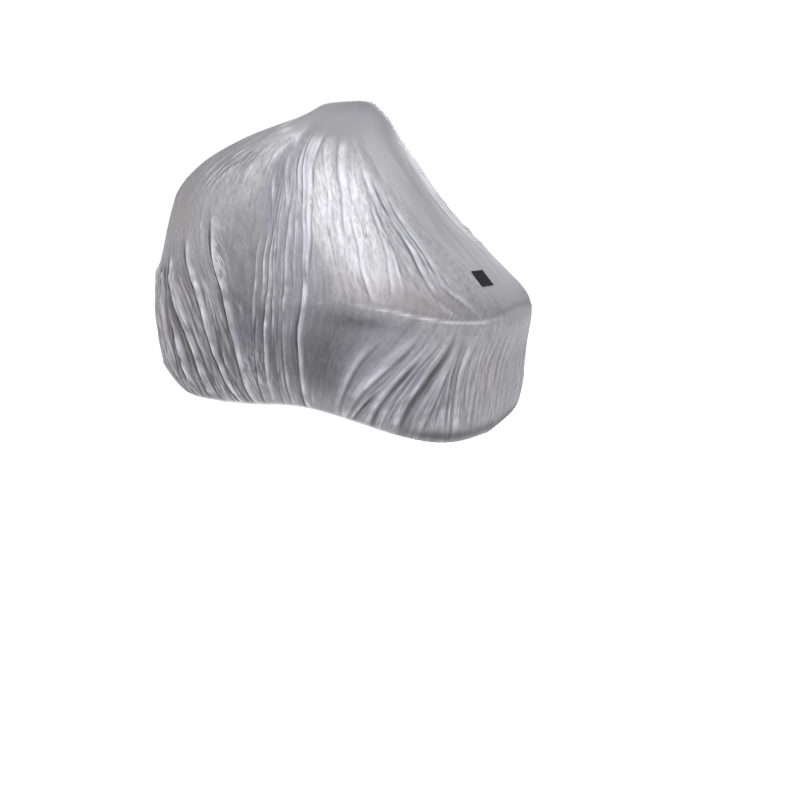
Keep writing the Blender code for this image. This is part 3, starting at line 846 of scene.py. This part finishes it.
def tub_shade(turn, level):
    """How much the tone falls below the tub's edge, which is sharp above and fades downwards."""
    first, last, soft = TUB_TURNS
    away = from_foot_end(turn)
    below = smooth_step((level - table_curve(TUB_EDGE, np.clip(away, first, last))) / TUB_SHARP)
    beside = smooth_step((away - first) / soft) * smooth_step((last - away) / soft)
    return -TUB_DARK * below * beside * (1.0 - smooth_step((level - TUB_DEPTH[0]) / TUB_DEPTH[1]))


def casing_share(turn, level):
    """Where the cloth lies pale over the elastic (0 to 1)."""
    first, last, most = CASING_PALE
    return most * zone(turn, level, first, last, CASING_FROM, 1.2, *CASING_SOFT)


def hem_casing(points):
    """Rows past the hem: half round the elastic to the inside, then up along the cloth's back."""
    edge = points[-1]
    down = points[-1] - points[-4]
    down /= np.linalg.norm(down, axis=-1, keepdims=True)
    middle = edge.mean(0)
    inside = middle - edge
    inside -= (inside * down).sum(-1, keepdims=True) * down
    inside /= np.linalg.norm(inside, axis=-1, keepdims=True)
    rows = []
    for k in range(1, CASING_STEPS + 1):
        angle = np.pi * k / CASING_STEPS
        rows.append(edge + CASING_RADIUS * ((1.0 - np.cos(angle)) * inside + np.sin(angle) * down))
    rows.append(rows[-1] - CASING_BACK * down)
    return np.array(rows)


def mesh_object(name, points, faces):
    """A smooth-shaded piece in the scene."""
    mesh = bpy.data.meshes.new(name)
    mesh.from_pydata(points.tolist(), [], faces)
    mesh.validate()
    mesh.shade_smooth()
    made = bpy.data.objects.new(name, mesh)
    bpy.context.scene.collection.objects.link(made)
    return made


def point_attribute(mesh, name, values):
    """One number at each point of the mesh, for its material."""
    made = mesh.attributes.new(name, "FLOAT", "POINT")
    made.data.foreach_set("value", np.asarray(values, np.float32).ravel())


def corner_points(mesh):
    """Index of the point at each corner of each face."""
    corners = np.zeros(len(mesh.loops), np.int32)
    mesh.loops.foreach_get("vertex_index", corners)
    return corners


def lay_cloth_map(mesh, places):
    """The map "cloth": column and level of each corner. A face over the seam at 0 reads columns from 1 on."""
    at = places[corner_points(mesh)]
    sides = np.zeros(len(mesh.polygons), np.int32)
    mesh.polygons.foreach_get("loop_total", sides)
    starts = np.concatenate([[0], np.cumsum(sides)[:-1]])
    span = np.maximum.reduceat(at[:, 0], starts) - np.minimum.reduceat(at[:, 0], starts)
    wraps = np.repeat(span > 0.5, sides) & (at[:, 0] < 0.25)
    at[wraps, 0] += 1.0
    mesh.uv_layers.new(name="cloth").data.foreach_set("uv", at.astype(np.float32).ravel())


def build_cover():
    """The cloth: a grid of points, round and down, closed at the top by a fan and open at the hem."""
    columns, turn, level, points, shade, crest_highlights, bands, ragged = cover_rows()
    casing = hem_casing(points)
    extra = len(casing)
    points = np.concatenate([points, casing])
    turn, level, shade, crest_highlights, bands, ragged = (
        np.concatenate([v, np.repeat(v[-1:], extra, 0)]) for v in (turn, level, shade, crest_highlights, bands, ragged)
    )
    rows, count = turn.shape
    top = points[0].mean(0) + [0.0, 0.0, TOP_LIFT]
    flat = np.vstack([points.reshape(-1, 3), top[None]])
    i, j = np.meshgrid(np.arange(rows - 1), np.arange(count), indexing="ij")
    k = (j + 1) % count
    quads = np.stack([i * count + j, i * count + k, (i + 1) * count + k, (i + 1) * count + j], -1)
    ring = np.arange(count)
    cap = np.stack([np.full(count, rows * count), (ring + 1) % count, ring], -1)
    cover = mesh_object("cover", flat, quads.reshape(-1, 4).tolist() + cap.tolist())
    warmth = patch_sum(WARMTHS, turn, level, 0.0)
    taut = drawn_smooth(columns, ragged)
    # The tone holds painted shade and painted sheen from TONES and FLAMES, besides the cloth's own tone
    tone = patch_sum(TONES, turn, level, TONE) + patch_sum(FLAMES, turn, ragged, 0.0) * (1.0 - taut)
    lower = smooth_step((level - SHEER_LEVELS[0]) / (SHEER_LEVELS[1] - SHEER_LEVELS[0]))
    finish = (
        ("shade_line", shade),
        ("crest", crest_highlights),
        ("taut", taut),
        ("tone", tone + bands + tub_shade(turn, level)),
        ("warm", np.clip(warmth, 0.0, 1.0)),
        ("lilac", np.clip(-warmth, 0.0, 1.0)),
        ("crushed", np.clip(patch_sum(CRUSHES, turn, ragged, 0.0), 0.0, 1.0)),
        ("streaky", np.clip(patch_sum(STREAKS, turn, level, STREAKY), 0.0, 1.6)),
        ("casing", casing_share(turn, level)),
        ("solid", SHEER_HOOD + (SHEER_SKIRT - SHEER_HOOD) * lower),
    )
    for name, values in finish:
        point_attribute(cover.data, name, np.append(values.ravel(), values[0].mean()))
    places = np.stack([np.repeat(columns[None], rows, 0), level], -1).reshape(-1, 2)
    lay_cloth_map(cover.data, np.concatenate([places, [[0.0, 0.0]]]))
    return cover


def add_node(tree, kind, settings=(), **values):
    """A node with its settings and the values of its named inputs."""
    node = tree.nodes.new(kind)
    for name, value in dict(settings).items():
        setattr(node, name, value)
    for name, value in values.items():
        node.inputs[name.replace("_", " ")].default_value = value
    return node


def attribute(tree, name):
    """The number that a point attribute has, in a material."""
    return add_node(tree, "ShaderNodeAttribute", {"attribute_name": name}).outputs["Fac"]


def mix_colour(tree, factor, first, second):
    """Mix of two colours, each a socket or a fixed colour."""
    node = add_node(tree, "ShaderNodeMix", {"data_type": "RGBA"})
    tree.links.new(factor, node.inputs[0])
    for socket, value in ((node.inputs[6], first), (node.inputs[7], second)):
        if isinstance(value, bpy.types.NodeSocket):
            tree.links.new(value, socket)
        else:
            socket.default_value = (*value, 1.0)
    return node.outputs[2]


def maths(tree, operation, first, second=None, clamp=False):
    """A sum on one or two values, each a socket or a fixed number."""
    node = add_node(tree, "ShaderNodeMath", {"operation": operation, "use_clamp": clamp})
    for socket, value in zip(node.inputs, (first, second)):
        if isinstance(value, bpy.types.NodeSocket):
            tree.links.new(value, socket)
        elif value is not None:
            socket.default_value = value
    return node.outputs[0]


def times(tree, first, *others):
    """All the values multiplied."""
    for other in others:
        first = maths(tree, "MULTIPLY", first, other)
    return first


def added(tree, first, *others):
    """All the values added up."""
    for other in others:
        first = maths(tree, "ADD", first, other)
    return first


def new_group(name, inputs, output):
    """An empty group with these inputs, each a name and a type, and one value out; its input and output."""
    group = bpy.data.node_groups.new(name, "ShaderNodeTree")
    for title, kind in inputs:
        group.interface.new_socket(title, in_out="INPUT", socket_type=kind)
    group.interface.new_socket(output, in_out="OUTPUT", socket_type="NodeSocketFloat")
    return group, group.nodes.new("NodeGroupInput").outputs, group.nodes.new("NodeGroupOutput").inputs


def placed(tree, name, vector, **values):
    """A group placed in a material, reading a vector, with the values of its other inputs."""
    node = add_node(tree, "ShaderNodeGroup", {"node_tree": bpy.data.node_groups[name]}, **values)
    tree.links.new(vector, node.inputs["Vector"])
    return node.outputs[0]


def grain_group():
    """Grain as a group: noise whose grains have the given size in each direction, all turned together."""
    group, given, out = new_group("grain", (
        ("Vector", "NodeSocketVector"), ("Size", "NodeSocketVector"), ("Turn", "NodeSocketVector"),
        ("Detail", "NodeSocketFloat"), ("Roughness", "NodeSocketFloat"),
    ), "Value")
    mapping = add_node(group, "ShaderNodeMapping", {"vector_type": "TEXTURE"})
    noise = add_node(group, "ShaderNodeTexNoise", Scale=1.0)
    for source, socket in (
        (given["Vector"], mapping.inputs["Vector"]), (given["Size"], mapping.inputs["Scale"]),
        (given["Turn"], mapping.inputs["Rotation"]), (mapping.outputs["Vector"], noise.inputs["Vector"]),
        (given["Detail"], noise.inputs["Detail"]), (given["Roughness"], noise.inputs["Roughness"]),
        (noise.outputs["Fac"], out["Value"]),
    ):
        group.links.new(source, socket)


def grain(tree, vector, size, detail, roughness=0.5, turned=0.0):
    """Noise with grains of this size in each direction, all turned about Y."""
    turn = (0.0, turned, 0.0)
    return placed(tree, "grain", vector, Size=size, Turn=turn, Detail=detail, Roughness=roughness)


def add_bump(tree, shader, height, strength, distance):
    """The shader's bump, from a height."""
    bump = add_node(tree, "ShaderNodeBump", Strength=strength, Distance=distance)
    tree.links.new(height, bump.inputs["Height"])
    tree.links.new(bump.outputs["Normal"], shader.inputs["Normal"])


def crease_lines(tree, vector, size, detail, thin, turned=0.0):
    """Thin crooked lines, 1 on each and 0 off it, where a noise crosses its middle."""
    noise = grain(tree, vector, size, detail, 0.55, turned)
    return spread(tree, maths(tree, "ABSOLUTE", maths(tree, "SUBTRACT", noise, 0.5)), thin, 0.0)


def spread(tree, value, low, high, to_low=0.0, to_high=1.0):
    """A value's stretch from low to high, spread over to_low to to_high and held to it."""
    node = add_node(tree, "ShaderNodeMapRange")
    tree.links.new(value, node.inputs["Value"])
    for name, number in (("From Min", low), ("From Max", high), ("To Min", to_low), ("To Max", to_high)):
        node.inputs[name].default_value = number
    return node.outputs["Result"]


def net_material():
    """Thin satin mesh: paler where it is folded double and with painted highlights on its crests and
    crinkles, painted shadow in the shadow lines and painted light and shade in its tone, a little
    see-through.
    """
    made = bpy.data.materials.new("silver_mesh_cloth")
    made.use_nodes = True
    tree = made.node_tree
    shader = tree.nodes["Principled BSDF"]
    place = add_node(tree, "ShaderNodeUVMap", {"uv_map": "cloth"}).outputs["UV"]
    where = add_node(tree, "ShaderNodeTexCoord").outputs["Object"]
    shade, crest, taut, tone, warm, lilac, crushed, streaky, casing, solid = (
        attribute(tree, name)
        for name in (
            "shade_line", "crest", "taut", "tone", "warm", "lilac", "crushed", "streaky", "casing", "solid",
        )
    )
    streaks = grain(tree, place, STREAK_GRAIN, 5.0, 0.68)
    blotches = grain(tree, where, BLOTCH_GRAIN, 3.0)
    mottle = grain(tree, where, MOTTLE_GRAIN, 5.0, 0.70, MOTTLE_TURNED)
    creases = crease_lines(tree, place, CREASE_GRAIN, 3.0, 0.035)
    coarse = crease_lines(tree, where, COARSE_GRAIN, 2.5, 0.040, CRINKLE_TURNED)
    fine = crease_lines(tree, where, FINE_GRAIN, 2.0, 0.045, FINE_TURNED)
    crinkle_lines = times(tree, maths(tree, "MAXIMUM", coarse, times(tree, fine, FINE_SHARE)), crushed)
    loose = maths(tree, "SUBTRACT", 1.0, taut)
    lively = times(tree, loose, streaky)
    creased = times(tree, creases, lively)

    # Tone, with its painted light and shade; the fine streaks are partly layered cloth and partly painted
    # sheen
    gain = added(
        tree,
        times(tree, spread(tree, streaks, 0.36, 0.66, -STREAK_GAIN, STREAK_GAIN), lively),
        times(tree, spread(tree, mottle, 0.36, 0.64, -MOTTLE_GAIN, MOTTLE_GAIN), loose),
        spread(tree, blotches, 0.3, 0.7, 1.0 - BLOTCH_GAIN, 1.0 + BLOTCH_GAIN),
    )
    body = mix_colour(tree, times(tree, tone, gain), DARK_COLOUR, PALE_COLOUR)
    body = mix_colour(tree, times(tree, warm, WARM_MIX), body, WARM_TINT)
    body = mix_colour(tree, times(tree, lilac, LILAC_MIX), body, LILAC_TINT)
    # Pale lines on the creases and crushed crinkles: painted glints
    body = mix_colour(tree, times(tree, creased, CREASE_MIX), body, CRINKLE_GLINT_COLOUR)
    body = mix_colour(tree, times(tree, crinkle_lines, CRINKLE_GLINT_MIX), body, CRINKLE_GLINT_COLOUR)
    # Painted highlight on the crests, partly cloth folded double, broken up by the streaks
    broken = spread(tree, streaks, 0.36, 0.62, 0.45, 1.15)
    body = mix_colour(tree, maths(tree, "MULTIPLY", crest, broken, True), body, CREST_HIGHLIGHT_COLOUR)
    # Painted shadow in the shadow lines, the valleys past main pleats, above the rim's crease and where the
    # hem rolls under
    body = mix_colour(tree, maths(tree, "MULTIPLY", shade, SHADOW_LINE_MIX, True), body, SHADOW_LINE_COLOUR)
    body = mix_colour(tree, casing, body, CASING_COLOUR)
    tree.links.new(body, shader.inputs["Base Color"])

    tree.links.new(spread(tree, streaks, 0.3, 0.7, 0.38, 0.54), shader.inputs["Roughness"])
    folded = times(tree, maths(tree, "MAXIMUM", shade, crest), FOLDED_SOLID)
    tree.links.new(maths(tree, "ADD", solid, folded, True), shader.inputs["Alpha"])
    height = added(
        tree,
        times(tree, streaks, loose),
        times(tree, placed(tree, "plain_weave", place, Threads=MESH_THREADS), THREAD_BUMP),
        times(tree, mottle, loose, MOTTLE_BUMP),
        times(tree, crinkle_lines, CRINKLE_BUMP),
        times(tree, creased, CREASE_BUMP),
    )
    add_bump(tree, shader, height, 0.6, 0.0022)
    shader.inputs["Sheen Weight"].default_value = 0.04
    shader.inputs["Sheen Roughness"].default_value = 0.4
    shader.inputs["Specular IOR Level"].default_value = 0.35
    return made


def label_frame():
    """The matrix from places on the flat label, in metres along and across it, to turns and levels."""
    turn, level = LABEL_PLACE
    h = LABEL_HAIR
    tangents = np.stack([
        (bare_form(turn + h, level) - bare_form(turn - h, level)) / (2 * h),
        (bare_form(turn, level + h) - bare_form(turn, level - h)) / (2 * h),
    ], -1)
    normal = outward(np.array(turn), np.array(level))
    down = tangents[:, 1] / np.linalg.norm(tangents[:, 1])
    across = np.cross(normal, down)
    long_way = down * np.cos(LABEL_TURNED) + across * np.sin(LABEL_TURNED)
    short_way = np.cross(normal, long_way)
    return np.linalg.pinv(tangents) @ np.stack([long_way, short_way], 1)


def on_label(a, b, lift):
    """Points a along and b across the label, raised by lift over its back face."""
    places = np.stack([a, b], -1) @ label_frame().T
    turns = LABEL_PLACE[0] + places[..., 0]
    levels = LABEL_PLACE[1] + places[..., 1]
    return bare_form(turns, levels) + outward(turns, levels) * (CLOTH + LABEL_GAP + lift)[..., None]


def label_lift(a, b):
    """Height of the label's face: its thickness, more where its ends are folded, round at its edges."""
    half_long, half_wide = 0.5 * LABEL_SIZE[0], 0.5 * LABEL_SIZE[1]
    fold, rise = LABEL_FOLD
    from_end = half_long - np.abs(a)
    edge = np.minimum(from_end, half_wide - np.abs(b))
    folded = rise * smooth_step((fold - from_end) / LABEL_FOLD_STEP + 0.5)
    rounded = np.sqrt(np.clip(1.0 - (1.0 - np.clip(edge / LABEL_SOFT_EDGE, 0.0, 1.0)) ** 2, 0.0, 1.0))
    return (LABEL_THICK + folded) * (LABEL_EDGE + (1.0 - LABEL_EDGE) * rounded)


def build_label():
    """The bare label: a face with folded ends and a flat back, both laid on the form, joined at the edge."""
    rows, columns = LABEL_STEPS
    a, b = np.meshgrid(
        np.linspace(-0.5, 0.5, rows) * LABEL_SIZE[0],
        np.linspace(-0.5, 0.5, columns) * LABEL_SIZE[1],
        indexing="ij",
    )
    face = on_label(a, b, label_lift(a, b)).reshape(-1, 3)
    back = on_label(a, b, np.zeros_like(a)).reshape(-1, 3)
    i, j = np.meshgrid(np.arange(rows - 1), np.arange(columns - 1), indexing="ij")
    k = (i * columns + j).ravel()
    quads = np.stack([k, k + columns, k + columns + 1, k + 1], -1)
    grid = np.arange(rows * columns).reshape(rows, columns)
    rim = np.concatenate([grid[0, :], grid[1:, -1], grid[-1, -2::-1], grid[-2:0:-1, 0]])
    after = np.roll(rim, -1)
    behind = rows * columns
    wall = np.stack([rim, after, after + behind, rim + behind], -1)
    faces = quads.tolist() + (quads[:, ::-1] + behind).tolist() + wall.tolist()
    label = mesh_object("sewn_label", np.vstack([face, back]), faces)
    flat = np.tile(np.stack([a.ravel(), b.ravel()], -1), (2, 1))[corner_points(label.data)]
    label.data.uv_layers.new(name="ribbon").data.foreach_set("uv", flat.astype(np.float32).ravel())
    return label


def build_stitches():
    """The thread that sews the label on: each stitch a capsule along the edge, half sunk into the ribbon.

    A capsule is a circle of STITCH_RADIUS carried along its length, drawn in to a point at both ends."""
    half = np.array(LABEL_SIZE) / 2.0 - STITCH_INSET
    corners = np.array([(-1, -1), (1, -1), (1, 1), (-1, 1)]) * half
    around = 2.0 * np.pi * np.arange(STITCH_SIDES) / STITCH_SIDES
    along = np.linspace(-0.5, 0.5, STITCH_RINGS)
    girths = np.sqrt(np.clip(1.0 - (2.0 * np.abs(along)) ** 4, 0.02, 1.0))
    i, j = np.meshgrid(np.arange(STITCH_RINGS - 1), np.arange(STITCH_SIDES), indexing="ij")
    start, after = i * STITCH_SIDES, (i + 1) * STITCH_SIDES
    k = (j + 1) % STITCH_SIDES
    skin = np.stack([start + j, start + k, after + k, after + j], -1).reshape(-1, 4)
    end = np.arange(STITCH_SIDES)
    last = end + (STITCH_RINGS - 1) * STITCH_SIDES
    size = STITCH_RINGS * STITCH_SIDES
    points, faces = [], []
    for corner, after in zip(corners, np.roll(corners, -1, 0)):
        run = np.linalg.norm(after - corner)
        count = int(round(run / STITCH_PITCH))
        way = (after - corner) / run
        side = np.array([-way[1], way[0]])
        for n in range(count):
            middle = corner + way * run * (n + 0.5) / count
            spots = middle + along[:, None] * way * STITCH_SHARE * run / count
            ring = STITCH_RADIUS * girths[:, None] * np.cos(around)
            rise = STITCH_RADIUS * girths[:, None] * np.sin(around)
            a = spots[:, None, 0] + ring * side[0]
            b = spots[:, None, 1] + ring * side[1]
            start = size * len(points)
            points.append(on_label(a, b, label_lift(a, b) + rise).reshape(-1, 3))
            faces += (skin + start).tolist() + [(end[::-1] + start).tolist(), (last + start).tolist()]
    return mesh_object("label_stitches", np.vstack(points), faces)


def weave_group():
    """Plain weave as a group: threads over and under on the two axes of its vector, 0 low to 1 high."""
    group, given, out = new_group(
        "plain_weave", (("Vector", "NodeSocketVector"), ("Threads", "NodeSocketVector")), "Height",
    )
    scaled = add_node(group, "ShaderNodeVectorMath", {"operation": "MULTIPLY"})
    group.links.new(given["Vector"], scaled.inputs[0])
    group.links.new(given["Threads"], scaled.inputs[1])
    parts = add_node(group, "ShaderNodeSeparateXYZ")
    group.links.new(scaled.outputs[0], parts.inputs[0])
    first, second = (maths(group, "SINE", times(group, parts.outputs[axis], np.pi)) for axis in (0, 1))
    checked = spread(group, times(group, first, second), -0.6, 0.6)
    rounds = times(group, maths(group, "ABSOLUTE", first), maths(group, "ABSOLUTE", second))
    group.links.new(added(group, times(group, checked, 0.6), times(group, rounds, 0.4)), out["Height"])


def label_material():
    """Black satin ribbon: fine threads, with a little pale dust in the weave."""
    made = bpy.data.materials.new("black_woven_ribbon")
    made.use_nodes = True
    tree = made.node_tree
    shader = tree.nodes["Principled BSDF"]
    flat = add_node(tree, "ShaderNodeUVMap", {"uv_map": "ribbon"}).outputs["UV"]
    where = add_node(tree, "ShaderNodeTexCoord").outputs["Object"]
    threads = placed(tree, "plain_weave", flat, Threads=RIBBON_THREADS)
    dust = grain(tree, where, DUST_GRAIN, 4.0, 0.6)
    body = mix_colour(tree, threads, RIBBON_LOW, RIBBON_HIGH)
    body = mix_colour(tree, spread(tree, dust, 0.55, 0.75, 0.0, 0.25), body, RIBBON_DUST)
    tree.links.new(body, shader.inputs["Base Color"])
    tree.links.new(spread(tree, dust, 0.3, 0.7, 0.72, 0.90), shader.inputs["Roughness"])
    add_bump(tree, shader, threads, 0.5, 0.0002)
    shader.inputs["Specular IOR Level"].default_value = 0.2
    return made


def thread_material():
    """Black thread, a little uneven."""
    made = bpy.data.materials.new("black_thread")
    made.use_nodes = True
    tree = made.node_tree
    shader = tree.nodes["Principled BSDF"]
    where = add_node(tree, "ShaderNodeTexCoord").outputs["Object"]
    ply = grain(tree, where, PLY_GRAIN, 2.0)
    tree.links.new(mix_colour(tree, ply, RIBBON_LOW, THREAD_COLOUR), shader.inputs["Base Color"])
    shader.inputs["Roughness"].default_value = 0.6
    shader.inputs["Specular IOR Level"].default_value = 0.3
    return made


def aimed(place, direction):
    """Place and turn of something that looks from a place in a direction, the right way up."""
    return Matrix.Translation(place) @ direction.to_track_quat("-Z", "Y").to_matrix().to_4x4()


def set_camera():
    """The camera, placed and turned as in the photo."""
    eye = bpy.data.cameras.new("camera")
    eye.lens = CAMERA_LENS
    eye.sensor_width = 36.0
    camera = bpy.data.objects.new("camera", eye)
    down, turned = np.radians(CAMERA_DOWN), np.radians(CAMERA_ROUND)
    ahead = Vector((-np.sin(turned) * np.cos(down), np.cos(turned) * np.cos(down), -np.sin(down)))
    camera.matrix_world = aimed(CAMERA_PLACE, ahead)
    bpy.context.scene.collection.objects.link(camera)
    bpy.context.scene.camera = camera


def area_light(name, place, side, power):
    """A square light aimed at the net."""
    lamp = bpy.data.lights.new(name, "AREA")
    lamp.size = side
    lamp.energy = power
    light = bpy.data.objects.new(name, lamp)
    light.matrix_world = aimed(place, Vector(LIGHTS_AIM) - Vector(place))
    bpy.context.scene.collection.objects.link(light)


def set_stage():
    """Pale floor, a world that is brighter to the camera than to the net, and the lights."""
    mesh = bpy.data.meshes.new("floor")
    corners = [(x * FLOOR_REACH, y * FLOOR_REACH, FLOOR_Z) for x, y in ((-1, -1), (1, -1), (1, 1), (-1, 1))]
    mesh.from_pydata(corners, [], [(0, 1, 2, 3)])
    floor = bpy.data.objects.new("floor", mesh)
    bpy.context.scene.collection.objects.link(floor)
    pale = bpy.data.materials.new("pale_floor")
    pale.use_nodes = True
    shader = pale.node_tree.nodes["Principled BSDF"]
    shader.inputs["Base Color"].default_value = (0.9, 0.9, 0.9, 1.0)
    shader.inputs["Roughness"].default_value = 0.9
    shader.inputs["Specular IOR Level"].default_value = 0.1
    mesh.materials.append(pale)
    world = bpy.data.worlds.new("studio")
    bpy.context.scene.world = world
    world.use_nodes = True
    tree = world.node_tree
    seen = tree.nodes["Background"]
    seen.inputs["Color"].default_value = (1.0, 1.0, 1.0, 1.0)
    seen.inputs["Strength"].default_value = 1.0
    lit = add_node(tree, "ShaderNodeBackground", Color=(1.0, 1.0, 1.0, 1.0), Strength=SKY_STRENGTH)
    either = add_node(tree, "ShaderNodeMixShader")
    tree.links.new(add_node(tree, "ShaderNodeLightPath").outputs["Is Camera Ray"], either.inputs[0])
    tree.links.new(lit.outputs[0], either.inputs[1])
    tree.links.new(seen.outputs[0], either.inputs[2])
    tree.links.new(either.outputs[0], tree.nodes["World Output"].inputs["Surface"])
    overhead = bpy.data.lights.new("overhead", "SUN")
    overhead.energy = OVERHEAD_STRENGTH
    overhead.angle = OVERHEAD_SPREAD
    bpy.context.scene.collection.objects.link(bpy.data.objects.new("overhead", overhead))
    for name, place, side, power in LIGHTS:
        area_light(name, place, side, power)
    bpy.context.scene.view_settings.view_transform = "Standard"


set_camera()
set_stage()
weave_group()
grain_group()
cover = build_cover()
cover.data.materials.append(net_material())
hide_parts("net")
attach(cover, "root")
label = build_label()
label.data.materials.append(label_material())
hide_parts("label")
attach(label, "root")
stitches = build_stitches()
stitches.data.materials.append(thread_material())
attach(stitches, "root")
